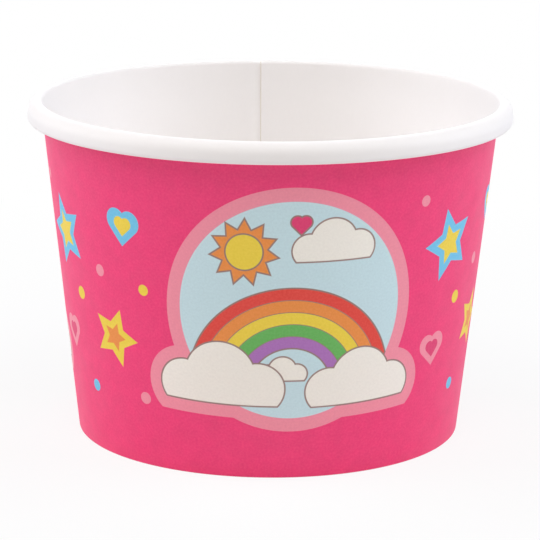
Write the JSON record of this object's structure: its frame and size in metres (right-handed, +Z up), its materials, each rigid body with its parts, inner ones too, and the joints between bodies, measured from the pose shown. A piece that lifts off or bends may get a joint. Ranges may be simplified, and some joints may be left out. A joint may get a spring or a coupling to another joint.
{
  "type": "paper dessert cup",
  "caption": "Tapered paper dessert cup with a rolled white rim, a pink printed wall lapped at the back and a recessed base disc.",
  "frame": {"origin": "middle of the ring that the cup stands on, at table height", "axes": "+Z up along the cup's axis, -Y towards the front that the picture shows, +Y towards the seam"},
  "size_m": [0.096, 0.096, 0.0665],
  "materials": {
    "printed_board": "satin",
    "plain_board": "satin"
  },
  "bodies": {
    "root": {"side_wall": "printed_board", "base_disc": "plain_board"}
  },
  "joints": []
}
